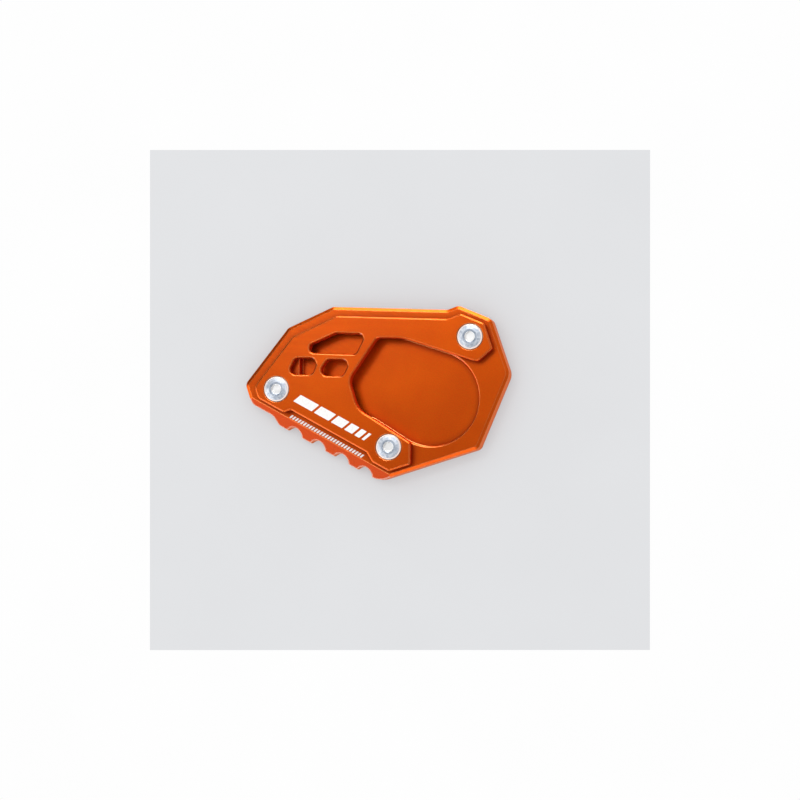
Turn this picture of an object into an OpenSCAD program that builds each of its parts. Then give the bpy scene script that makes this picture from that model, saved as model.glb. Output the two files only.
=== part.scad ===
// Kickstand foot enlarger: a pocketed base plate, a C-shaped cover plate and three button-head
// screws that clamp the two together.
// Millimetres, +Z up. The origin is the middle of the ground face.
// An edge is written as [direction it faces, distance from the origin, radius of its next corner].

/* [Base plate outline] */
// Distance from the origin to the short edge at the nose
nose_reach = 52; // [50:0.1:56]
// Distance from the origin to the long upper-left edge
upper_left_reach = 46.9; // [45:0.1:50]
// Distance from the origin to the shoulder between the upper-left and the top edge
shoulder_reach = 40.8; // [39.5:0.1:42]
// Distance from the origin to the top edge
top_reach = 35.6; // [34.5:0.1:37]
// Place where the small step beside the ear begins, along the top edge
step_place = 28.7; // [27:0.1:30]
// How much further from the origin the top of the ear lies than the top edge
ear_rise = 11.2; // [10.5:0.1:12.5]
// Distance from the origin to the side of the ear
ear_side_reach = 55.8; // [53:0.1:60]
// Distance from the origin to the tail edge
tail_reach = 49.1; // [47:0.1:54]
// Distance from the origin to the lower-right edge
lower_right_reach = 35.3; // [33:0.1:38]
// Distance from the origin to the tips of the teeth
tooth_reach = 31.8; // [30:0.1:34]
// Radius of the round corner where the toothed edge ends
toe_radius = 10; // [6:0.5:12]

/* [Base plate section] */
// Thickness of the base plate
base_h = 9; // [8:0.5:12]
// Width of the chamfer round the upper rim
base_chamfer = 1.3; // [0.6:0.1:1.6]
// Width of the small chamfer round the ground face
ground_chamfer = 0.5; // [0.2:0.1:1]
// Width of the broad bevel along the toothed edge
bevel_w = 5; // [4:0.1:6]
// Height of the broad bevel along the toothed edge
bevel_h = 5; // [3:0.1:6]
// How far the teeth stand out from the plain part of their edge
tooth_stand = 2.5; // [1:0.1:3]

/* [Teeth] */
// Number of round notches
notch_count = 4; // [3:1:4]
// Distance from one notch to the next
notch_pitch = 11.5; // [9:0.1:12]
// Radius of a notch
notch_r = 3.7; // [3:0.1:4]
// Depth of a notch, measured from the tips of the teeth
notch_depth = 2.7; // [2:0.1:3.5]
// Place of the last notch along the edge, measured from the origin
last_notch = 11.2; // [9:0.1:12]

/* [Pocket] */
// Place of the middle of the round end of the pocket, along X
round_x = 23.6; // [22:0.1:25]
// Place of the middle of the round end of the pocket, along Y
round_y = -2.1; // [-3:0.1:-1]
// Radius of the round end of the pocket
round_r = 20; // [18:0.1:21]
// Depth of the pocket
pocket_depth = 5; // [3:0.1:6]
// Distance from the middle of the round end to the far wall of the pocket
pocket_length = 56.1; // [50:0.1:57]
// Distance from the middle of the round end to the upper wall of the pocket
pocket_rise = 29.1; // [28:0.1:30]
// Width of the chamfer round the rim of the pocket
pocket_chamfer = 0.4; // [0.2:0.1:0.8]

/* [Cover plate] */
// Thickness of the cover plate
cover_t = 4.5; // [4:0.1:6]
// Width of the fine chamfer round the upper rim and the windows
cover_chamfer = 0.5; // [0.2:0.1:0.8]
// Rim of the base that shows at the nose
nose_rim = 4.6; // [3:0.1:6]
// Rim of the base that shows on the upper left
upper_left_rim = 5.1; // [3:0.1:6]
// Rim of the base that shows along the top
top_rim = 4.3; // [3:0.1:6]
// Rim of the base that shows round the ear
ear_rim = 3; // [2:0.1:4]
// Rim of the base that shows at the lower right
lower_right_rim = 2.2; // [1.6:0.1:4]
// Strip of the base that shows between the cover and the broad bevel
bevel_rim = 1.4; // [0.5:0.1:2.5]
// Depth of the long shallow recess in the lower-left side of the cover
recess_depth = 2.4; // [1:0.1:3]
// Distance from the origin to the right end of the lower arm of the cover
lower_arm_reach = 15.9; // [14:0.1:17]

/* [Screws] */
// Nominal diameter of the screws
screw_d = 6; // [5:0.5:6]
// Diameter of a screw head
head_d = 10.5; // [9:0.1:11]
// Height of a screw head
head_h = 3.3; // [2.5:0.1:3.5]
// Diameter of the flat top of a screw head
head_flat_d = 6; // [5.5:0.1:7]
// Width of the hexagon socket across its flats
socket_w = 4; // [3:0.1:4]
// Depth of the hexagon socket
socket_depth = 1.6; // [1.2:0.1:2.2]
// Length of a screw below its head
screw_length = 10; // [8:0.5:10.5]
// Depth of the counterbore for a screw head
counterbore_depth = 2.6; // [2:0.1:3]
// Gap round a screw head and its shank in the cover
screw_gap = 0.1; // [0.1:0.05:0.4]
// Gap between a screw and the tapped hole that it sits in
thread_gap = 0.05; // [0.02:0.01:0.1]
// Distance from the right screw to the lower edge of the ear, beside the mouth
ear_low_width = 9.9; // [9:0.1:11]
// Distance from the edges of the ear to its screw
ear_screw_inset = 10.2; // [9.5:0.1:11]
// Distance from the nose and the upper-left edge to the left screw
nose_screw_inset = 13.3; // [12:0.1:14]
// Distance from the lower-right edge to the lower screw
lower_screw_inset = 11.7; // [10.5:0.1:12.5]
// Distance from the tips of the teeth to the lower screw
tooth_screw_inset = 15.1; // [14.5:0.1:16.5]

/* [Hidden] */
$fn = 96;

// Directions that the edges of the base plate face, in degrees
nose_dir = 198.9;
tooth_dir = 241.8;
tooth_end_dir = 208;
lower_right_dir = 287.9;
tail_dir = 337.7;
ear_side_dir = 19.2;
ear_top_dir = 67.5;
step_dir = 109.8;
top_dir = 88;
shoulder_dir = 114.5;
upper_left_dir = 142.3;

// Distance from the origin to the short edge at which the teeth begin
tooth_end_reach = 43.7;

// Directions that the walls of the opening face, seen from inside it, in degrees
opening_low_dir = 238.1;
opening_left_dir = 198;
opening_upper_left_dir = 146.1;
opening_top_dir = 89.3;
opening_upper_right_dir = 72;
ear_low_dir = 132.1;

// Distances from the middle of the round end to the walls of the opening
opening_left = 30.2;
opening_upper_left = 32.5;
opening_top = 24.6;

// Radii of the corners of the opening
opening_left_r = 10;
opening_upper_left_r = 6;
opening_top_r = 2.5;
opening_upper_right_r = 28;

// Directions and distances of the pocket walls that the cover hides
pocket_shoulder_dir = 117.3;
pocket_shoulder = 44.9;
pocket_low_dir = 250.1;
pocket_low = 16.2;
pocket_corner_r = 5;

// Ends of the recess in the cover: directions that they face and distances from the origin
recess_left_dir = 288.4;
recess_left = -4.2;
recess_right_dir = 211.3;
recess_right = 15;

// Corners of the three windows in the cover, each as [x, y]
long_window = [[-27.9, 19.8], [-26.9, 16.5], [-7.6, 15.8], [-3.5, 24.3], [-16.5, 24.8]];
left_window = [[-36.1, 9.3], [-34.2, 7.5], [-26.2, 7.4], [-24.4, 11.7], [-25.6, 14.4], [-33.7, 14.4]];
right_window = [[-22.8, 9.5], [-20.9, 6.9], [-13, 6.8], [-10.9, 11.2], [-12.1, 13.6], [-19.8, 13.8]];
window_r = 2;

// Small sizes that the eye reads as crisp or soft edges
arc_error = 0.01;
sharp_r = 0.8;
chamfer_overcut = 0.3;
rim_slope = 0.62;
ground_slope = 1;
small_r = 1;
soft_r = 3;
tail_r = 6;
cut_extra = 1;
counterbore_chamfer = 0.25;
thread_chamfer = 0.6;
screw_tip_chamfer = 0.8;
head_edge_h = 2.4;
head_low_chamfer = 0.3;
head_rim_r = 0.45;
rim_steps = 5;
socket_chamfer = 0.18;
dome_steps = 10;
left_key_turn = 10;
right_key_turn = 28;
lower_key_turn = 4;

round_centre = [round_x, round_y];
cover_top = base_h + cover_t;
seat_z = cover_top - counterbore_depth;
pocket_floor = base_h - pocket_depth;
shank_r = screw_d / 2;

// A point at a distance in a direction
function polar(direction, distance) = distance * [cos(direction), sin(direction)];

// Signed turn from one direction to the next, between -180 and 180 degrees
function turn(a, b) = (b - a + 540) % 360 - 180;

// The point where two edges cross
function meet(e, f) =
    [e[1] * sin(f[0]) - f[1] * sin(e[0]), f[1] * cos(e[0]) - e[1] * cos(f[0])] / sin(f[0] - e[0]);

// An edge moved towards the inside of its outline
function inset_edge(e, inset) = [e[0], e[1] - inset, e[2]];

// An edge measured from another centre, as an edge measured from the origin
function about(centre, e) = [e[0], e[1] + centre * polar(e[0], 1), e[2]];

// A wall of an opening, as an edge of the plate round it
function facing_in(e) = [e[0] + 180, -e[1], e[2]];

// The number of straight steps that keeps an arc within its allowed error
function arc_steps(r, bend) = max(2, ceil(abs(bend) / (2 * acos(1 - arc_error / r))));

// The arc that rounds the corner between two edges, in a number of steps
function corner_arc(e, f, r, steps) =
    let (bend = turn(e[0], f[0]), side = sign(bend))
    let (centre = meet(inset_edge(e, side * r), inset_edge(f, side * r)))
    [for (i = [0 : steps]) centre + side * polar(e[0] + bend * i / steps, r)];

// The outline that a list of edges encloses, moved inwards by an inset
function outline(edges, inset = 0) =
    [for (i = [0 : len(edges) - 1])
        let (e = edges[i], f = edges[(i + 1) % len(edges)], bend = turn(e[0], f[0]))
        let (r = max(e[2] - sign(bend) * inset, sharp_r / 4))
        each corner_arc(inset_edge(e, inset), inset_edge(f, inset), r, arc_steps(e[2], bend))];

// The edges between the corners of a window, which run anticlockwise
function window_edges(corners) =
    [for (i = [0 : len(corners) - 1])
        let (a = corners[i], b = corners[(i + 1) % len(corners)])
        let (facing = atan2(a[0] - b[0], b[1] - a[1]))
        [facing, a * polar(facing, 1), window_r]];

// Two triangles between neighbouring points of one ring and the same points of the next
function strip(low, high, i, j) = [[low + i, high + j, high + i], [low + i, low + j, high + j]];

// A closed ring of wedge section, level with z = 0, that takes a chamfer off the rim of a plate
module rim_cut(edges, width, slope) {
    outside = outline(edges, -chamfer_overcut);
    inside = outline(edges, width + chamfer_overcut);
    high = chamfer_overcut * slope;
    low = -width * slope - high;
    n = len(outside);
    corners = concat(
        [for (p = outside) [p[0], p[1], low]],
        [for (p = outside) [p[0], p[1], high]],
        [for (p = inside) [p[0], p[1], high]]);
    faces = [for (i = [0 : n - 1]) for (k = [0 : 2])
        each strip((k + 1) % 3 * n, k * n, i, (i + 1) % n)];
    polyhedron(corners, faces, convexity = 8);
}

// A flaring block, level with z = 0, that takes a chamfer off the rim of an opening
module flare_cut(edges, width) {
    low = outline(edges, chamfer_overcut);
    high = outline(edges, -width - chamfer_overcut);
    n = len(low);
    corners = concat(
        [for (p = low) [p[0], p[1], -width - chamfer_overcut]],
        [for (p = high) [p[0], p[1], chamfer_overcut]]);
    sides = [for (i = [0 : n - 1]) each strip(0, n, i, (i + 1) % n)];
    ends = [[for (i = [0 : n - 1]) i], [for (i = [n - 1 : -1 : 0]) n + i]];
    polyhedron(corners, concat(ends, sides), convexity = 8);
}

// The top of the ear and the step beside it, both tied to the top edge
ear_top_reach = top_reach + ear_rise;
step_start = polar(top_dir, top_reach) + polar(top_dir - 90, step_place);
step_reach = step_start * polar(step_dir, 1);

// Places of the three screws, each tied to the edges beside it
left_screw = meet(
    [nose_dir, nose_reach - nose_screw_inset],
    [upper_left_dir, upper_left_reach - nose_screw_inset]);
right_screw = meet(
    [ear_side_dir, ear_side_reach - ear_screw_inset],
    [ear_top_dir, ear_top_reach - ear_screw_inset]);
lower_screw = meet(
    [tooth_dir, tooth_reach - tooth_screw_inset],
    [lower_right_dir, lower_right_reach - lower_screw_inset]);
screw_places = [left_screw, right_screw, lower_screw];

// Edges of the base plate, anticlockwise from the nose
base_edges = [
    [nose_dir, nose_reach, soft_r],
    [tooth_dir, tooth_reach - tooth_stand, soft_r],
    [tooth_end_dir, tooth_end_reach, soft_r / 2],
    [tooth_dir, tooth_reach, toe_radius],
    [lower_right_dir, lower_right_reach, soft_r],
    [tail_dir, tail_reach, tail_r],
    [ear_side_dir, ear_side_reach, soft_r],
    [ear_top_dir, ear_top_reach, soft_r],
    [step_dir, step_reach, soft_r],
    [top_dir, top_reach, soft_r],
    [shoulder_dir, shoulder_reach, soft_r],
    [upper_left_dir, upper_left_reach, soft_r]];

// Walls of the open mouth of the cover, seen from inside it
opening_low_wall = about(round_centre, [opening_low_dir, round_r, sharp_r]);
opening_left_wall = about(round_centre, [opening_left_dir, opening_left, opening_left_r]);
opening_upper_left_wall =
    about(round_centre, [opening_upper_left_dir, opening_upper_left, opening_upper_left_r]);
opening_top_wall = about(round_centre, [opening_top_dir, opening_top, opening_top_r]);
opening_upper_right_wall = about(round_centre, [opening_upper_right_dir, round_r, opening_upper_right_r]);
ear_low_wall = about(right_screw, [ear_low_dir, -ear_low_width, soft_r]);

// Edges of the cover plate, anticlockwise from the nose
cover_low = tooth_reach - bevel_w - bevel_rim;
cover_edges = [
    [nose_dir, nose_reach - nose_rim, soft_r],
    [tooth_dir, cover_low, small_r],
    [recess_left_dir, recess_left, small_r],
    [tooth_dir, cover_low - recess_depth, small_r],
    [recess_right_dir, recess_right, small_r],
    [tooth_dir, cover_low, small_r],
    [lower_right_dir, lower_right_reach - lower_right_rim, small_r],
    [0, lower_arm_reach, sharp_r],
    [opening_low_dir - 180, facing_in(opening_low_wall)[1], opening_left_wall[2]],
    [opening_left_dir - 180, facing_in(opening_left_wall)[1], opening_upper_left_wall[2]],
    [opening_upper_left_dir - 180, facing_in(opening_upper_left_wall)[1], opening_top_wall[2]],
    [opening_top_dir - 180, facing_in(opening_top_wall)[1], opening_upper_right_wall[2]],
    [opening_upper_right_dir - 180, facing_in(opening_upper_right_wall)[1], ear_low_wall[2]],
    [ear_low_dir - 180, facing_in(ear_low_wall)[1], sharp_r],
    [ear_side_dir, ear_side_reach - ear_rim, small_r],
    [ear_top_dir, ear_top_reach - ear_rim, small_r],
    [step_dir, step_reach - top_rim, soft_r],
    [top_dir, top_reach - top_rim, soft_r],
    [shoulder_dir, shoulder_reach - upper_left_rim, soft_r],
    [upper_left_dir, upper_left_reach - upper_left_rim, soft_r]];

// Walls of the pocket: a round end, and straight walls that are hidden under the cover
pocket_edges = [for (e = [
        [opening_low_dir, round_r, round_r],
        [tail_dir, round_r, round_r],
        [opening_upper_right_dir, round_r, pocket_corner_r],
        [90, pocket_rise, pocket_corner_r],
        [pocket_shoulder_dir, pocket_shoulder, pocket_corner_r],
        [180, pocket_length, pocket_corner_r],
        [pocket_low_dir, pocket_low, pocket_corner_r]])
    about(round_centre, e)];

// The block that takes off the broad bevel along the toothed edge
module bevel_cut() {
    slope = atan2(bevel_h, bevel_w);
    span = 2 * (nose_reach + tail_reach);
    rotate([0, 0, tooth_dir])
        translate([tooth_reach - bevel_w, 0, base_h])
            rotate([0, slope, 0])
                translate([-span / 2, -span / 2, 0])
                    cube([span, span, base_h]);
}

// The round notches between the teeth
module notches() {
    rotate([0, 0, tooth_dir])
        for (i = [0 : notch_count - 1])
            translate([tooth_reach - notch_depth + notch_r, last_notch - i * notch_pitch, -cut_extra])
                cylinder(r = notch_r, h = base_h + 2 * cut_extra);
}

// The pocket in the top of the base
module pocket() {
    translate([0, 0, pocket_floor])
        linear_extrude(pocket_depth + cut_extra)
            polygon(outline(pocket_edges));
    translate([0, 0, base_h])
        flare_cut(pocket_edges, pocket_chamfer);
}

// A tapped hole through the base, chamfered at the ground face
module tapped_hole() {
    hole_r = shank_r + thread_gap;
    translate([0, 0, -cut_extra])
        cylinder(r = hole_r, h = base_h + 2 * cut_extra);
    translate([0, 0, -cut_extra])
        cylinder(r1 = hole_r + thread_chamfer + cut_extra, r2 = hole_r, h = thread_chamfer + cut_extra);
}

module base_plate() {
    color("orangered")
        difference() {
            linear_extrude(base_h) polygon(outline(base_edges));
            translate([0, 0, base_h]) rim_cut(base_edges, base_chamfer, rim_slope);
            mirror([0, 0, 1]) rim_cut(base_edges, ground_chamfer, ground_slope);
            bevel_cut();
            notches();
            pocket();
            for (place = screw_places)
                translate(place) tapped_hole();
        }
}

// A window through the cover, with its rim chamfered at the top
module window_cut(corners) {
    edges = window_edges(corners);
    translate([0, 0, base_h - cut_extra])
        linear_extrude(cover_t + 2 * cut_extra)
            polygon(outline(edges));
    translate([0, 0, cover_top])
        flare_cut(edges, cover_chamfer);
}

// The hole and counterbore for one screw
module screw_seat() {
    seat_r = head_d / 2 + screw_gap;
    translate([0, 0, base_h - cut_extra])
        cylinder(r = shank_r + screw_gap, h = cover_t + 2 * cut_extra);
    translate([0, 0, seat_z])
        cylinder(r = seat_r, h = counterbore_depth + cut_extra);
    translate([0, 0, cover_top - counterbore_chamfer])
        cylinder(r1 = seat_r, r2 = seat_r + 2 * counterbore_chamfer, h = 2 * counterbore_chamfer);
}

module cover_plate() {
    color("darkorange")
        difference() {
            translate([0, 0, base_h])
                linear_extrude(cover_t) polygon(outline(cover_edges));
            translate([0, 0, cover_top])
                rim_cut(cover_edges, cover_chamfer, rim_slope);
            window_cut(long_window);
            window_cut(left_window);
            window_cut(right_window);
            for (place = screw_places)
                translate(place) screw_seat();
        }
}

// Half section of a low button-head screw, from its tip to its domed head
function screw_profile() =
    let (head_r = head_d / 2, flat_r = head_flat_d / 2, dome_rim = head_r - head_rim_r)
    let (dome_low = head_edge_h + head_rim_r)
    let (dome_z = (flat_r ^ 2 + head_h ^ 2 - dome_rim ^ 2 - dome_low ^ 2) / (2 * (head_h - dome_low)))
    let (dome_r = norm([dome_rim, dome_low - dome_z]))
    let (low = asin((dome_low - dome_z) / dome_r), high = acos(flat_r / dome_r))
    concat(
        [[0, -screw_length], [shank_r - screw_tip_chamfer, -screw_length]],
        [[shank_r, screw_tip_chamfer - screw_length], [shank_r, 0]],
        [[head_r - head_low_chamfer, 0], [head_r, head_low_chamfer]],
        [for (i = [0 : rim_steps])
            [dome_rim, head_edge_h] + polar(low * i / rim_steps, head_rim_r)],
        [for (i = [1 : dome_steps])
            [0, dome_z] + polar(low + (high - low) * i / dome_steps, dome_r)],
        [[0, head_h]]);

// A low button-head screw with a hexagon socket, turned as it was left by the key
module screw(place, key_turn) {
    socket_r = socket_w / sqrt(3);
    mouth_r = socket_r + socket_chamfer;
    mouth_depth = mouth_r - socket_w / 2 + socket_chamfer;
    translate([place[0], place[1], seat_z])
        color("silver")
            difference() {
                rotate_extrude() polygon(screw_profile());
                rotate([0, 0, key_turn])
                    translate([0, 0, head_h - socket_depth])
                        cylinder(r = socket_r, h = socket_depth + cut_extra, $fn = 6);
                translate([0, 0, head_h - mouth_depth])
                    cylinder(
                        r1 = mouth_r - mouth_depth, r2 = mouth_r + cut_extra, h = mouth_depth + cut_extra);
            }
}

module screw_left() {
    screw(left_screw, left_key_turn);
}

module screw_right() {
    screw(right_screw, right_key_turn);
}

module screw_lower() {
    screw(lower_screw, lower_key_turn);
}

base_plate();
cover_plate();
screw_left();
screw_right();
screw_lower();
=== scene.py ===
"""Dresses the kickstand foot enlarger in satin orange anodising, bright screws and plain white print."""

import logging
import math
from dataclasses import dataclass, field
from enum import Enum

import bmesh
import bpy
from mathutils import Matrix, Vector


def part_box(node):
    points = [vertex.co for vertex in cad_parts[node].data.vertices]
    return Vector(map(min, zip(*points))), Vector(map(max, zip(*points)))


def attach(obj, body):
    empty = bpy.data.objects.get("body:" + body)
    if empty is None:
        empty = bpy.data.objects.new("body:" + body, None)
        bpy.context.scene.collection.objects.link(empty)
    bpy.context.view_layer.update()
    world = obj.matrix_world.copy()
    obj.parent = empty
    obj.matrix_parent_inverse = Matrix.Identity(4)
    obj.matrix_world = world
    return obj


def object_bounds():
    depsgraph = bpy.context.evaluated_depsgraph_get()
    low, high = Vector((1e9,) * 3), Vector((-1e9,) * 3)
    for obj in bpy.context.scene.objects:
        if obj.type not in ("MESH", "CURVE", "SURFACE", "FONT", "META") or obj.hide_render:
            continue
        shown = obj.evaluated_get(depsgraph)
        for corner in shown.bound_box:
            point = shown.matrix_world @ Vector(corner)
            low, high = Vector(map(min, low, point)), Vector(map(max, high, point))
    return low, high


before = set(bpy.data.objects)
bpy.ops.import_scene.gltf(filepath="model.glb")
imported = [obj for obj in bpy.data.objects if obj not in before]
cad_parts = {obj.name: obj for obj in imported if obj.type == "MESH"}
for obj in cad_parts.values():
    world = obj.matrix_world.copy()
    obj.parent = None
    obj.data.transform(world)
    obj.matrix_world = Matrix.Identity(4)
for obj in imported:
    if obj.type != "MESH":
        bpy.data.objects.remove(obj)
CAD_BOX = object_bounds()
MM = 0.001
TEETH_DEG = -28.2
LOG = logging.getLogger("enlarger")

Colour = tuple[float, float, float, float]


def linear(code: str) -> Colour:
    """Turns an sRGB colour to the linear one that Blender's sockets take.

    Args:
        code: The colour as a hash and six hex digits.

    Returns:
        Linear red, green, blue and an alpha of one.
    """
    parts = [int(code[i:i + 2], 16) / 255 for i in (1, 3, 5)]
    lin = [c / 12.92 if c <= 0.04045 else ((c + 0.055) / 1.055) ** 2.4 for c in parts]
    return lin[0], lin[1], lin[2], 1.0


def add_node(
    tree: bpy.types.NodeTree, kind: str, settings: dict | None = None, inputs: dict | None = None
) -> bpy.types.Node:
    """Adds a node with its settings and links.

    Args:
        tree: The node tree that gets the node.
        kind: Blender's name of the node type.
        settings: Properties of the node by name.
        inputs: Values or output sockets by the name or number of the input that takes them.

    Returns:
        The new node.
    """
    node = tree.nodes.new(kind)
    for name, value in (settings or {}).items():
        setattr(node, name, value)
    for name, value in (inputs or {}).items():
        if isinstance(value, bpy.types.NodeSocket):
            tree.links.new(value, node.inputs[name])
        else:
            node.inputs[name].default_value = value
    return node


def new_material(name: str) -> tuple[bpy.types.Material, bpy.types.NodeTree, bpy.types.Node]:
    """Makes an empty node material.

    Args:
        name: The material's name.

    Returns:
        The material, its node tree and its output node.
    """
    material = bpy.data.materials.new(name)
    material.use_nodes = True
    tree = material.node_tree
    tree.nodes.clear()
    return material, tree, add_node(tree, "ShaderNodeOutputMaterial")


class ToolMark(Enum):
    """How the last tool left a milled face: the lay of its streaks, in degrees from +X."""

    ALONG_TEETH = TEETH_DEG
    ALONG_TOP = -2.0


@dataclass(frozen=True)
class AnodisedAluminium:
    """Aluminium, milled, fine blasted and dyed orange in the anodic film: a satin metal with a clear skin.

    The metal tints every reflection orange, the film adds a thin white sheen, and the edges are paler,
    partly from worn film and partly as a painted highlight. Painted light also brightens the upright
    sides and sets the broad bevel's own colour and its pale rims, and painted shade darkens inner corners.
    """

    name: str
    tool_mark: ToolMark
    dye: str = "#D95604"
    deep_dye: str = "#CD4E04"
    # Colour of the painted shade in inner corners.
    painted_shade: str = "#8E3307"
    # Paler edge colour: partly worn film, partly a painted highlight along the rims.
    edge_wear_and_highlight: str = "#FFAE6A"
    # Painted light on upright sides, standing in for the bright table that they reflect.
    side_painted_light: str = "#F98344"
    grazing: str = "#FFB98A"
    # Painted light: the broad bevel's own colour, matched to how light falls on it.
    bevel_painted_tone: str = "#C0461C"
    # Painted highlight along the bevel's outer edge and the rims of its notches.
    bevel_rim_highlight: str = "#FFD0BC"
    bevel_facing: tuple[float, float, float] = (-0.334, -0.623, 0.707)
    roughness: float = 0.36
    roughness_spread: float = 0.05
    film_weight: float = 0.1
    film_roughness: float = 0.24
    film_ior: float = 1.6
    grain_share: float = 0.34
    side_light_share: float = 0.6
    painted_shade_share: float = 0.85
    edge_highlight_share: float = 0.8
    bevel_rim_share: float = 0.9
    relief_strength: float = 0.18
    relief_mm: float = 0.05
    # Blasting grit is about 0.1 mm; it is drawn at 0.5 mm, the finest that a pixel of the photograph shows.
    grit_mm: float = 0.5
    cloud_mm: float = 22.0
    # Cutter feed marks are about 0.15 mm apart; they are drawn at 0.6 mm for the same reason.
    streak_mm: float = 0.6
    streak_length_mm: float = 30.0
    edge_mm: float = 0.55
    bevel_rim_mm: float = 1.1
    painted_shade_mm: float = 3.2

    def material(self) -> bpy.types.Material:
        """Builds the material.

        Returns:
            The node material.
        """
        material, tree, output = new_material(self.name)
        place = add_node(tree, "ShaderNodeTexCoord").outputs["Object"]
        grit = add_node(
            tree, "ShaderNodeTexNoise", {},
            {"Vector": place, "Scale": 1 / (self.grit_mm * MM), "Detail": 3.0, "Roughness": 0.6})
        cloud = add_node(
            tree, "ShaderNodeTexNoise", {},
            {"Vector": place, "Scale": 1 / (self.cloud_mm * MM), "Detail": 2.0, "Roughness": 0.5})
        lay = add_node(
            tree, "ShaderNodeMapping", {"vector_type": "TEXTURE"},
            {"Vector": place, "Rotation": (0.0, 0.0, math.radians(self.tool_mark.value)),
             "Scale": (self.streak_length_mm * MM, self.streak_mm * MM, self.streak_mm * MM)})
        streak = add_node(
            tree, "ShaderNodeTexNoise", {},
            {"Vector": lay.outputs[0], "Scale": 1.0, "Detail": 2.0, "Roughness": 0.5})
        rounded = add_node(
            tree, "ShaderNodeBevel", {"samples": 6}, {"Radius": self.edge_mm * MM})
        true_normal = add_node(tree, "ShaderNodeNewGeometry").outputs["True Normal"]
        facing = add_node(
            tree, "ShaderNodeVectorMath", {"operation": "DOT_PRODUCT"},
            {0: rounded.outputs[0], 1: true_normal})
        # Mask of the paler edges: partly worn film, partly a painted highlight along the rims.
        edge = add_node(
            tree, "ShaderNodeMapRange", {},
            {"Value": facing.outputs["Value"], "From Min": 0.992, "From Max": 0.89,
             "To Min": 0.0, "To Max": self.edge_highlight_share})
        tint = add_node(
            tree, "ShaderNodeMapRange", {},
            {"Value": cloud.outputs["Fac"], "From Min": 0.3, "From Max": 0.7})
        dyed = add_node(
            tree, "ShaderNodeMix", {"data_type": "RGBA"},
            {0: tint.outputs[0], 6: linear(self.dye), 7: linear(self.deep_dye)})
        # Painted light: the broad bevel, picked out by the way it faces, gets its own darker, redder colour,
        # matched to how light falls on it.
        leaning = add_node(
            tree, "ShaderNodeVectorMath", {"operation": "DOT_PRODUCT"},
            {0: true_normal, 1: self.bevel_facing})
        on_bevel = add_node(
            tree, "ShaderNodeMapRange", {},
            {"Value": leaning.outputs["Value"], "From Min": 0.97, "From Max": 0.995})
        bevel_toned = add_node(
            tree, "ShaderNodeMix", {"data_type": "RGBA"},
            {0: on_bevel.outputs[0], 6: dyed.outputs[2], 7: linear(self.bevel_painted_tone)})
        # Painted light: upright sides get a paler colour that stands in for the bright table they reflect.
        height = add_node(tree, "ShaderNodeSeparateXYZ", {}, {0: true_normal}).outputs["Z"]
        level = add_node(tree, "ShaderNodeMath", {"operation": "ABSOLUTE"}, {0: height})
        upright = add_node(
            tree, "ShaderNodeMapRange", {},
            {"Value": level.outputs[0], "From Min": 0.3, "From Max": 0.05,
             "To Min": 0.0, "To Max": self.side_light_share})
        side_lit = add_node(
            tree, "ShaderNodeMix", {"data_type": "RGBA"},
            {0: upright.outputs[0], 6: bevel_toned.outputs[2], 7: linear(self.side_painted_light)})
        grained = add_node(
            tree, "ShaderNodeMix", {"data_type": "RGBA", "blend_type": "OVERLAY"},
            {0: self.grain_share, 6: side_lit.outputs[2], 7: grit.outputs["Color"]})
        # Painted shade: inner corners, found by ambient occlusion, are darkened as if they lay in shadow.
        corner = add_node(
            tree, "ShaderNodeAmbientOcclusion", {"samples": 6}, {"Distance": self.painted_shade_mm * MM})
        painted_shade_mask = add_node(
            tree, "ShaderNodeMapRange", {},
            {"Value": corner.outputs["AO"], "From Min": 0.92, "From Max": 0.5,
             "To Min": 0.0, "To Max": self.painted_shade_share})
        corner_shaded = add_node(
            tree, "ShaderNodeMix", {"data_type": "RGBA"},
            {0: painted_shade_mask.outputs[0], 6: grained.outputs[2], 7: linear(self.painted_shade)})
        edge_highlighted = add_node(
            tree, "ShaderNodeMix", {"data_type": "RGBA"},
            {0: edge.outputs[0], 6: corner_shaded.outputs[2], 7: linear(self.edge_wear_and_highlight)})
        # Painted highlight: the outer edge of the bevel and the rims of its notches are made palest.
        lip = add_node(
            tree, "ShaderNodeBevel", {"samples": 6}, {"Radius": self.bevel_rim_mm * MM})
        drop = add_node(tree, "ShaderNodeSeparateXYZ", {}, {0: lip.outputs[0]}).outputs["Z"]
        worn = add_node(
            tree, "ShaderNodeMapRange", {},
            {"Value": drop, "From Min": 0.7, "From Max": 0.57,
             "To Min": 0.0, "To Max": self.bevel_rim_share})
        bevel_rim_mask = add_node(
            tree, "ShaderNodeMath", {"operation": "MULTIPLY"},
            {0: worn.outputs[0], 1: on_bevel.outputs[0]})
        bevel_rim_highlighted = add_node(
            tree, "ShaderNodeMix", {"data_type": "RGBA"},
            {0: bevel_rim_mask.outputs[0], 6: edge_highlighted.outputs[2], 7: linear(self.bevel_rim_highlight)})
        rough = add_node(
            tree, "ShaderNodeMapRange", {},
            {"Value": streak.outputs["Fac"], "From Min": 0.25, "From Max": 0.75,
             "To Min": self.roughness - self.roughness_spread,
             "To Max": self.roughness + self.roughness_spread})
        relief = add_node(
            tree, "ShaderNodeMath", {"operation": "ADD"},
            {0: grit.outputs["Fac"], 1: streak.outputs["Fac"]})
        bump = add_node(
            tree, "ShaderNodeBump", {},
            {"Strength": self.relief_strength, "Distance": self.relief_mm * MM,
             "Height": relief.outputs[0], "Normal": rounded.outputs[0]})
        shader = add_node(
            tree, "ShaderNodeBsdfPrincipled", {},
            {"Base Color": bevel_rim_highlighted.outputs[2], "Metallic": 1.0, "Roughness": rough.outputs[0],
             "Specular Tint": linear(self.grazing), "Coat Weight": self.film_weight,
             "Coat Roughness": self.film_roughness, "Coat IOR": self.film_ior, "Normal": bump.outputs[0]})
        tree.links.new(shader.outputs[0], output.inputs["Surface"])
        return material


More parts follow.
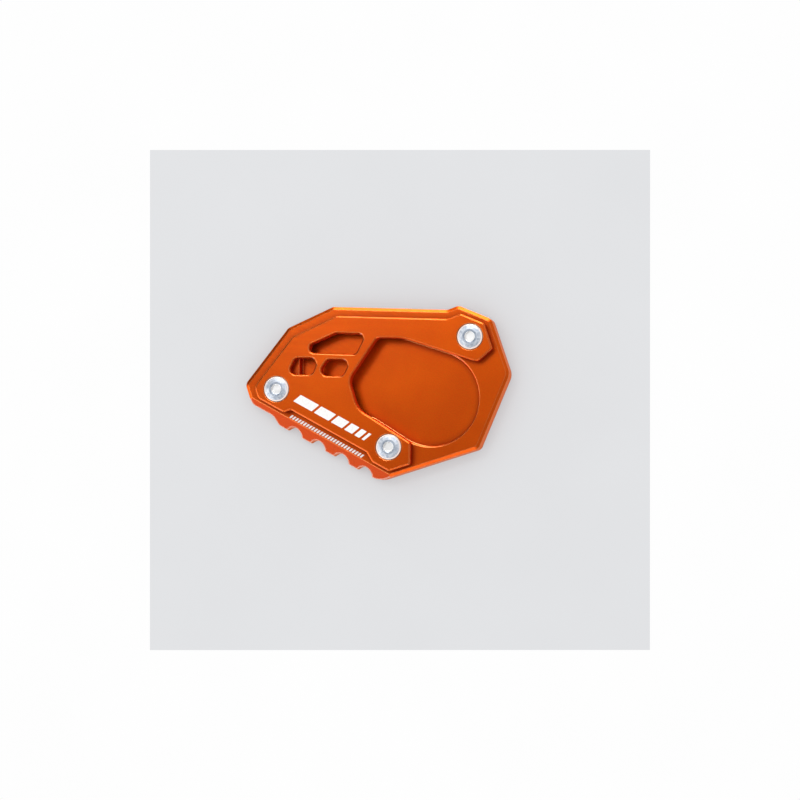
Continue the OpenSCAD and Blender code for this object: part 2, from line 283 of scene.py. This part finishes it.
@dataclass(frozen=True)
class ZincPlatedSteel:
    """Steel, turned and bright zinc plated: a cool silver with rings from the lathe round its axis."""

    name: str
    axis: tuple[float, float]
    top: float
    plating: str = "#E2E7EF"
    worn: str = "#B6BFCD"
    # Painted highlight: the socket's colour is raised to white.
    socket_highlight: str = "#FFFFFF"
    # Painted shade: a darker, mottled ring round the socket.
    socket_ring_shade: str = "#8E99A9"
    # Painted highlight: the pale matt rim of the head.
    head_rim_highlight: str = "#FFEAE0"
    roughness: float = 0.46
    socket_roughness: float = 0.42
    metallic: float = 0.85
    head_rim_highlight_metallic: float = 0.15
    socket_mm: float = 2.6
    socket_lip_mm: float = 0.25
    socket_ring_shade_mm: float = 3.0
    socket_ring_shade_gaps: float = 0.7
    head_rim_highlight_mm: float = 4.65
    # Feed rings are about 0.08 mm apart on such a head; they are drawn at 0.45 mm so that they show.
    ring_mm: float = 0.45
    cloud_mm: float = 1.2

    def material(self) -> bpy.types.Material:
        """Builds the material.

        Returns:
            The node material.
        """
        material, tree, output = new_material(self.name)
        place = add_node(tree, "ShaderNodeTexCoord").outputs["Object"]
        offset = add_node(
            tree, "ShaderNodeVectorMath", {"operation": "SUBTRACT"},
            {0: place, 1: (self.axis[0], self.axis[1], 0.0)})
        flat = add_node(
            tree, "ShaderNodeVectorMath", {"operation": "MULTIPLY"},
            {0: offset.outputs[0], 1: (1.0, 1.0, 0.0)})
        reach = add_node(
            tree, "ShaderNodeVectorMath", {"operation": "LENGTH"}, {0: flat.outputs[0]})
        around = add_node(
            tree, "ShaderNodeVectorMath", {"operation": "NORMALIZE"}, {0: flat.outputs[0]})
        turn = add_node(
            tree, "ShaderNodeMath", {"operation": "MULTIPLY"},
            {0: reach.outputs["Value"], 1: 1 / (self.ring_mm * MM)})
        ring = add_node(
            tree, "ShaderNodeTexNoise", {"noise_dimensions": "4D"},
            {"Vector": around.outputs[0], "W": turn.outputs[0], "Scale": 1.0, "Detail": 3.0,
             "Roughness": 0.6})
        cloud = add_node(
            tree, "ShaderNodeTexNoise", {},
            {"Vector": place, "Scale": 1 / (self.cloud_mm * MM), "Detail": 2.0})
        tint = add_node(
            tree, "ShaderNodeMapRange", {},
            {"Value": cloud.outputs["Fac"], "From Min": 0.35, "From Max": 0.65})
        colour = add_node(
            tree, "ShaderNodeMix", {"data_type": "RGBA"},
            {0: tint.outputs[0], 6: linear(self.plating), 7: linear(self.worn)})
        # The punch leaves the socket smooth, so it is less rough than the turned face round it, and its
        # colour is raised to white as a painted highlight.
        outside = add_node(
            tree, "ShaderNodeMapRange", {},
            {"Value": reach.outputs["Value"], "From Min": (self.socket_mm - 0.05) * MM,
             "From Max": self.socket_mm * MM})
        height = add_node(tree, "ShaderNodeSeparateXYZ", {}, {0: place}).outputs["Z"]
        above = add_node(
            tree, "ShaderNodeMapRange", {},
            {"Value": height, "From Min": self.top - (self.socket_lip_mm + 0.1) * MM,
             "From Max": self.top - self.socket_lip_mm * MM})
        turned = add_node(
            tree, "ShaderNodeMath", {"operation": "MAXIMUM"},
            {0: outside.outputs[0], 1: above.outputs[0]})
        # Painted shade darkens a mottled ring round the socket, and a painted highlight makes the rim a pale
        # matt edge.
        face = add_node(
            tree, "ShaderNodeMapRange", {},
            {"Value": reach.outputs["Value"], "From Min": (self.socket_ring_shade_mm - 0.2) * MM,
             "From Max": (self.socket_ring_shade_mm + 0.3) * MM})
        spared = add_node(
            tree, "ShaderNodeMath", {"operation": "MULTIPLY_ADD", "use_clamp": True},
            {0: tint.outputs[0], 1: self.socket_ring_shade_gaps, 2: face.outputs[0]})
        faced = add_node(
            tree, "ShaderNodeMix", {"data_type": "RGBA"},
            {0: spared.outputs[0], 6: linear(self.socket_ring_shade), 7: colour.outputs[2]})
        head_rim_mask = add_node(
            tree, "ShaderNodeMapRange", {},
            {"Value": reach.outputs["Value"], "From Min": (self.head_rim_highlight_mm - 0.1) * MM,
             "From Max": (self.head_rim_highlight_mm + 0.15) * MM})
        head_rim_highlighted = add_node(
            tree, "ShaderNodeMix", {"data_type": "RGBA"},
            {0: head_rim_mask.outputs[0], 6: faced.outputs[2], 7: linear(self.head_rim_highlight)})
        shade = add_node(
            tree, "ShaderNodeMix", {"data_type": "RGBA"},
            {0: turned.outputs[0], 6: linear(self.socket_highlight), 7: head_rim_highlighted.outputs[2]})
        metal = add_node(
            tree, "ShaderNodeMapRange", {},
            {"Value": head_rim_mask.outputs[0], "To Min": self.metallic, "To Max": self.head_rim_highlight_metallic})
        rough = add_node(
            tree, "ShaderNodeMapRange", {},
            {"Value": ring.outputs["Fac"], "From Min": 0.3, "From Max": 0.7,
             "To Min": self.roughness - 0.06, "To Max": self.roughness + 0.08})
        smooth = add_node(
            tree, "ShaderNodeMix", {"data_type": "FLOAT"},
            {0: turned.outputs[0], 2: self.socket_roughness, 3: rough.outputs[0]})
        grooves = add_node(
            tree, "ShaderNodeMath", {"operation": "MULTIPLY"},
            {0: turned.outputs[0], 1: ring.outputs["Fac"]})
        bump = add_node(
            tree, "ShaderNodeBump", {},
            {"Strength": 0.4, "Distance": 0.04 * MM, "Height": grooves.outputs[0]})
        shader = add_node(
            tree, "ShaderNodeBsdfPrincipled", {},
            {"Base Color": shade.outputs[2], "Metallic": metal.outputs[0],
             "Roughness": smooth.outputs[0], "Normal": bump.outputs[0]})
        tree.links.new(shader.outputs[0], output.inputs["Surface"])
        return material


@dataclass(frozen=True)
class ScreenPrint:
    """White ink, screen printed on the anodising: an even matt film with a trace of mottle."""

    name: str = "white_screen_print"
    ink: str = "#FBFAF9"
    thin_ink: str = "#F1E9E4"
    roughness: float = 0.5
    # The mesh of the screen is about 0.12 mm; its mottle is drawn at 0.9 mm so that it shows.
    mottle_mm: float = 0.9

    def material(self) -> bpy.types.Material:
        """Builds the material.

        Returns:
            The node material.
        """
        material, tree, output = new_material(self.name)
        place = add_node(tree, "ShaderNodeTexCoord").outputs["Object"]
        mottle = add_node(
            tree, "ShaderNodeTexNoise", {},
            {"Vector": place, "Scale": 1 / (self.mottle_mm * MM), "Detail": 3.0})
        thin = add_node(
            tree, "ShaderNodeMapRange", {},
            {"Value": mottle.outputs["Fac"], "From Min": 0.5, "From Max": 0.85})
        colour = add_node(
            tree, "ShaderNodeMix", {"data_type": "RGBA"},
            {0: thin.outputs[0], 6: linear(self.ink), 7: linear(self.thin_ink)})
        bump = add_node(
            tree, "ShaderNodeBump", {},
            {"Strength": 0.1, "Distance": 0.02 * MM, "Height": mottle.outputs["Fac"]})
        shader = add_node(
            tree, "ShaderNodeBsdfPrincipled", {},
            {"Base Color": colour.outputs[2], "Metallic": 0.0, "Roughness": self.roughness,
             "IOR": 1.5, "Normal": bump.outputs[0]})
        tree.links.new(shader.outputs[0], output.inputs["Surface"])
        return material


@dataclass(frozen=True)
class StudioPaper:
    """Matt backdrop paper: pale, with the faint cloudiness of pulp.

    Metal and glass see it in its own colour without the object's shadow. So does the camera, as far as
    the paper is lit from behind.
    """

    name: str
    pulp: str
    shade: str
    backlit: float
    # The cloudiness of pulp is about 5 mm; it is drawn at 55 mm so that it stays a faint drift.
    cloud_mm: float = 55.0

    def material(self) -> bpy.types.Material:
        """Builds the material.

        Returns:
            The node material.
        """
        material, tree, output = new_material(self.name)
        place = add_node(tree, "ShaderNodeTexCoord").outputs["Object"]
        pulp = add_node(
            tree, "ShaderNodeTexNoise", {},
            {"Vector": place, "Scale": 1 / (self.cloud_mm * MM), "Detail": 3.0})
        colour = add_node(
            tree, "ShaderNodeMix", {"data_type": "RGBA"},
            {0: pulp.outputs["Fac"], 6: linear(self.pulp), 7: linear(self.shade)})
        paper = add_node(
            tree, "ShaderNodeBsdfDiffuse", {}, {"Color": colour.outputs[2], "Roughness": 0.5})
        path = add_node(tree, "ShaderNodeLightPath")
        mirrored = add_node(
            tree, "ShaderNodeMath", {"operation": "MAXIMUM"},
            {0: path.outputs["Is Glossy Ray"], 1: path.outputs["Is Transmission Ray"]})
        direct = add_node(
            tree, "ShaderNodeMath", {"operation": "SUBTRACT", "use_clamp": True},
            {0: mirrored.outputs[0], 1: path.outputs["Diffuse Depth"]})
        seen = add_node(
            tree, "ShaderNodeMath", {"operation": "MULTIPLY_ADD"},
            {0: path.outputs["Is Camera Ray"], 1: self.backlit, 2: direct.outputs[0]})
        glow = add_node(
            tree, "ShaderNodeEmission", {}, {"Color": colour.outputs[2], "Strength": 1.0})
        surface = add_node(
            tree, "ShaderNodeMixShader", {}, {0: seen.outputs[0], 1: paper.outputs[0], 2: glow.outputs[0]})
        tree.links.new(surface.outputs[0], output.inputs["Surface"])
        return material


def dress(piece: bpy.types.Object, material: bpy.types.Material) -> None:
    """Puts one material in every slot of a piece.

    Args:
        piece: The piece that gets the material.
        material: The finish.
    """
    if not piece.data.materials:
        piece.data.materials.append(material)
    for i in range(len(piece.data.materials)):
        piece.data.materials[i] = material
    LOG.info("%s: %s, %d faces", piece.name, material.name, len(piece.data.polygons))


@dataclass
class PrintedRow:
    """A row of slanted bars of ink that follows the toothed edge, in millimetres.

    The row's own axes are u, along the toothed edge, and v, away from it.
    """

    name: str
    start_u: float
    low_v: float
    height: float
    widths: list[float]
    gap: float
    slant: float = 0.42
    lay_deg: float = TEETH_DEG
    ink_mm: float = 0.03
    sink_mm: float = 0.01
    corner_mm: float = 0.12

    def place(self, u: float, v: float) -> Vector:
        """Returns the point of the row's axes in metres, on z = 0."""
        a = math.radians(self.lay_deg)
        return Vector((u * math.cos(a) - v * math.sin(a), u * math.sin(a) + v * math.cos(a), 0.0)) * MM

    def build(self, face_z: float, ink: bpy.types.Material) -> bpy.types.Object:
        """Builds the bars as one thin film on a face.

        Args:
            face_z: Height of the face that carries the ink, in metres.
            ink: The material of the bars.

        Returns:
            The new piece.
        """
        shape = bmesh.new()
        u = self.start_u
        for width in self.widths:
            lean = self.slant * self.height
            corners = [
                self.place(u, self.low_v),
                self.place(u + width, self.low_v),
                self.place(u + width + lean, self.low_v + self.height),
                self.place(u + lean, self.low_v + self.height)]
            base = [shape.verts.new(c + Vector((0, 0, face_z - self.sink_mm * MM))) for c in corners]
            shape.faces.new(base)
            bmesh.ops.bevel(
                shape, geom=base, offset=self.corner_mm * MM, segments=3, affect="VERTICES")
            u += width + self.gap
        lifted = bmesh.ops.extrude_face_region(shape, geom=list(shape.faces))
        top = [g for g in lifted["geom"] if isinstance(g, bmesh.types.BMVert)]
        bmesh.ops.translate(shape, verts=top, vec=(0, 0, (self.ink_mm + self.sink_mm) * MM))
        bmesh.ops.recalc_face_normals(shape, faces=list(shape.faces))
        mesh = bpy.data.meshes.new(self.name)
        shape.to_mesh(mesh)
        shape.free()
        piece = bpy.data.objects.new(self.name, mesh)
        bpy.context.scene.collection.objects.link(piece)
        dress(piece, ink)
        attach(piece, "root")
        return piece


@dataclass
class BasePlate:
    """The base with the pocket, the broad bevel and the teeth, and the ticks printed beside them."""

    node: str = "base_plate"
    finish: AnodisedAluminium = AnodisedAluminium("orange_anodised_base", ToolMark.ALONG_TEETH)
    ticks: PrintedRow = field(default_factory=lambda: PrintedRow(
        "edge_ticks", start_u=-27.6, low_v=-26.45, height=1.6, widths=[0.82] * 27, gap=0.51))

    def build(self, ink: bpy.types.Material) -> None:
        """Dresses the base and prints its ticks.

        Args:
            ink: The material of the print.
        """
        dress(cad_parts[self.node], self.finish.material())
        self.ticks.build(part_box(self.node)[1].z, ink)


@dataclass
class CoverPlate:
    """The C-shaped cover with its windows, and the stripes printed on its lower arm."""

    node: str = "cover_plate"
    finish: AnodisedAluminium = AnodisedAluminium("orange_anodised_cover", ToolMark.ALONG_TOP)
    stripes: PrintedRow = field(default_factory=lambda: PrintedRow(
        "arm_stripes", start_u=-28.2, low_v=-19.3, height=3.8,
        widths=[9.0, 7.2, 5.4, 3.8, 2.4, 1.2], gap=1.1))

    def build(self, ink: bpy.types.Material) -> None:
        """Dresses the cover and prints its stripes.

        Args:
            ink: The material of the print.
        """
        dress(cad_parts[self.node], self.finish.material())
        self.stripes.build(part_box(self.node)[1].z, ink)


@dataclass
class ClampScrews:
    """The button-head screws, each with lathe rings round its own axis."""

    nodes: tuple[str, ...] = ("screw_left", "screw_right", "screw_lower")

    def build(self) -> None:
        """Dresses each screw."""
        for node in self.nodes:
            low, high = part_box(node)
            middle = (low + high) / 2
            steel = ZincPlatedSteel(f"zinc_plated_{node}", (middle.x, middle.y), high.z)
            dress(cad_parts[node], steel.material())


@dataclass(frozen=True)
class SoftLamp:
    """A lamp that faces the object: where it stands, how large it is and how bright it is."""

    name: str
    azimuth_deg: float
    elevation_deg: float
    distance: float
    width: float
    height: float
    radiance: float

    def build(self, target: Vector) -> None:
        """Adds the lamp.

        Args:
            target: The point that it faces.
        """
        a, e = math.radians(self.azimuth_deg), math.radians(self.elevation_deg)
        back = Vector((math.cos(a) * math.cos(e), math.sin(a) * math.cos(e), math.sin(e)))
        data = bpy.data.lights.new(self.name, "AREA")
        data.shape = "RECTANGLE"
        data.size, data.size_y = self.width, self.height
        data.energy = self.radiance * math.pi * self.width * self.height
        lamp = bpy.data.objects.new(self.name, data)
        lamp.location = target + back * self.distance
        lamp.rotation_euler = (-back).to_track_quat("-Z", "Y").to_euler()
        bpy.context.scene.collection.objects.link(lamp)


@dataclass(frozen=True)
class Board:
    """A white reflector board beyond the lamp: where it stands, how wide it looks and how bright it is.

    Only the metal sees it, so it draws the light along the chamfers and leaves the card alone.
    """

    azimuth_deg: float
    elevation_deg: float
    inner_deg: float
    outer_deg: float
    strength: float

    def glow(self, tree: bpy.types.NodeTree, toward: bpy.types.NodeSocket) -> bpy.types.NodeSocket:
        """Adds the board's light in the world.

        Args:
            tree: The world's node tree.
            toward: The direction looked in.

        Returns:
            The strength of the board in that direction.
        """
        a, e = math.radians(self.azimuth_deg), math.radians(self.elevation_deg)
        facing = add_node(
            tree, "ShaderNodeVectorMath", {"operation": "DOT_PRODUCT"},
            {0: toward, 1: (math.cos(a) * math.cos(e), math.sin(a) * math.cos(e), math.sin(e))})
        return add_node(
            tree, "ShaderNodeMapRange", {"interpolation_type": "SMOOTHSTEP"},
            {"Value": facing.outputs["Value"], "From Min": math.cos(math.radians(self.outer_deg)),
             "From Max": math.cos(math.radians(self.inner_deg)), "To Min": 0.0,
             "To Max": self.strength}).outputs[0]


@dataclass
class Studio:
    """The pale card on a white table, the room round them, the lamp, the reflector boards and the camera."""

    eye_mm: tuple[float, float, float] = (165.93, -51.99, 775.67)
    target_mm: tuple[float, float, float] = (8.713, -2.342, 0.0)
    lens_mm: float = 85.0
    card_mm: tuple[tuple[float, float], ...] = (
        (-103.7, 106.7), (112.6, 101.0), (113.4, -103.9), (-99.0, -109.5))
    card_drop_mm: float = 0.02
    table_half_mm: float = 2000.0
    table_drop_mm: float = 0.3
    backdrop: str = "#F4F5F6"
    room_light: float = 0.95
    bounce_light: float = 0.35
    bright_level: float = 0.75
    dark_level: float = 0.22
    dimming: float = 0.55
    bright_side: tuple[float, float, float] = (0.766, 0.643, 0.0)
    dim_side: tuple[float, float, float] = (-0.83, 0.56, 0.0)
    boards: tuple[Board, ...] = (
        Board(87.0, 25.0, 12.0, 25.0, 9.0),
        Board(208.0, 20.0, 22.0, 40.0, 2.5),
        Board(-84.0, 33.0, 8.0, 20.0, 2.5))
    lamps: tuple[SoftLamp, ...] = (
        SoftLamp("over_box", 123.3, 69.8, 0.607, 0.3, 0.14, 2.65),)

    def sheet(self, name: str, corners: list[tuple[float, float]], z: float, paper: StudioPaper) -> None:
        """Lays a flat sheet that is part of the stage.

        Args:
            name: The object's name.
            corners: Its corners in millimetres, clockwise.
            z: Its height in metres.
            paper: Its finish.
        """
        mesh = bpy.data.meshes.new(name)
        mesh.from_pydata([(x * MM, y * MM, z) for x, y in corners], [], [(3, 2, 1, 0)])
        sheet = bpy.data.objects.new(name, mesh)
        bpy.context.scene.collection.objects.link(sheet)
        dress(sheet, paper.material())

    def room(self) -> None:
        """Lights the object from all round, for metal more from the right than from the upper left."""
        world = bpy.data.worlds.new("studio_room")
        bpy.context.scene.world = world
        world.use_nodes = True
        tree = world.node_tree
        tree.nodes.clear()
        output = add_node(tree, "ShaderNodeOutputWorld")
        toward = add_node(tree, "ShaderNodeTexCoord").outputs["Generated"]
        bright = add_node(
            tree, "ShaderNodeVectorMath", {"operation": "DOT_PRODUCT"},
            {0: toward, 1: self.bright_side})
        slope = add_node(
            tree, "ShaderNodeMapRange", {},
            {"Value": bright.outputs["Value"], "From Min": -0.6, "From Max": 0.6,
             "To Min": self.dark_level, "To Max": self.bright_level})
        side = add_node(
            tree, "ShaderNodeVectorMath", {"operation": "DOT_PRODUCT"},
            {0: toward, 1: self.dim_side})
        flag = add_node(
            tree, "ShaderNodeMapRange", {"interpolation_type": "SMOOTHSTEP"},
            {"Value": side.outputs["Value"], "From Min": 0.2, "From Max": 0.8,
             "To Min": 1.0, "To Max": self.dimming})
        dimmed = add_node(
            tree, "ShaderNodeMath", {"operation": "MULTIPLY"},
            {0: slope.outputs[0], 1: flag.outputs[0]})
        around = dimmed.outputs[0]
        for board in self.boards:
            around = add_node(
                tree, "ShaderNodeMath", {"operation": "ADD"},
                {0: around, 1: board.glow(tree, toward)}).outputs[0]
        path = add_node(tree, "ShaderNodeLightPath")
        mirrored = add_node(
            tree, "ShaderNodeMath", {"operation": "MAXIMUM"},
            {0: path.outputs["Is Glossy Ray"], 1: path.outputs["Is Transmission Ray"]})
        # Metal that lights the card sees an even room, so that the card gets no coloured patches.
        bounced = add_node(
            tree, "ShaderNodeMix", {"data_type": "FLOAT", "clamp_factor": True},
            {0: path.outputs["Diffuse Depth"], 2: around, 3: self.bounce_light})
        strength = add_node(
            tree, "ShaderNodeMix", {"data_type": "FLOAT"},
            {0: mirrored.outputs[0], 2: self.room_light, 3: bounced.outputs[0]})
        lit = add_node(
            tree, "ShaderNodeBackground", {},
            {"Color": linear("#FFFFFF"), "Strength": strength.outputs[0]})
        backdrop = add_node(
            tree, "ShaderNodeBackground", {}, {"Color": linear(self.backdrop), "Strength": 1.0})
        mixed = add_node(
            tree, "ShaderNodeMixShader", {},
            {0: path.outputs["Is Camera Ray"], 1: lit.outputs[0], 2: backdrop.outputs[0]})
        tree.links.new(mixed.outputs[0], output.inputs["Surface"])

    def camera(self) -> None:
        """Puts the camera where the photograph was taken from."""
        eye, target = Vector(self.eye_mm) * MM, Vector(self.target_mm) * MM
        back = (eye - target).normalized()
        up = back.cross(Vector((1, 0, 0))).normalized()
        right = up.cross(back)
        data = bpy.data.cameras.new("camera")
        data.lens = self.lens_mm
        data.clip_start, data.clip_end = 0.01, 20.0
        camera = bpy.data.objects.new("camera", data)
        camera.matrix_world = Matrix.Translation(eye) @ Matrix((right, up, back)).transposed().to_4x4()
        bpy.context.scene.collection.objects.link(camera)
        bpy.context.scene.camera = camera

    def build(self) -> None:
        """Builds the stage, the light and the camera."""
        self.camera()
        card = StudioPaper("pale_card", "#E6E7E9", "#E2E3E5", backlit=0.45)
        table = StudioPaper("white_table", "#FFFFFF", "#FDFDFD", backlit=1.0)
        half = self.table_half_mm
        self.sheet("card", list(self.card_mm), -self.card_drop_mm * MM, card)
        self.sheet(
            "table", [(-half, half), (half, half), (half, -half), (-half, -half)],
            -self.table_drop_mm * MM, table)
        self.room()
        middle = (CAD_BOX[0] + CAD_BOX[1]) / 2
        for lamp in self.lamps:
            lamp.build(middle)
        bpy.context.scene.view_settings.view_transform = "Standard"


def main() -> None:
    """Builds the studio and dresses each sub-assembly."""
    logging.basicConfig(level=logging.INFO, format="%(message)s")
    ink = ScreenPrint().material()
    Studio().build()
    BasePlate().build(ink)
    CoverPlate().build(ink)
    ClampScrews().build()


if __name__ == "__main__":
    main()
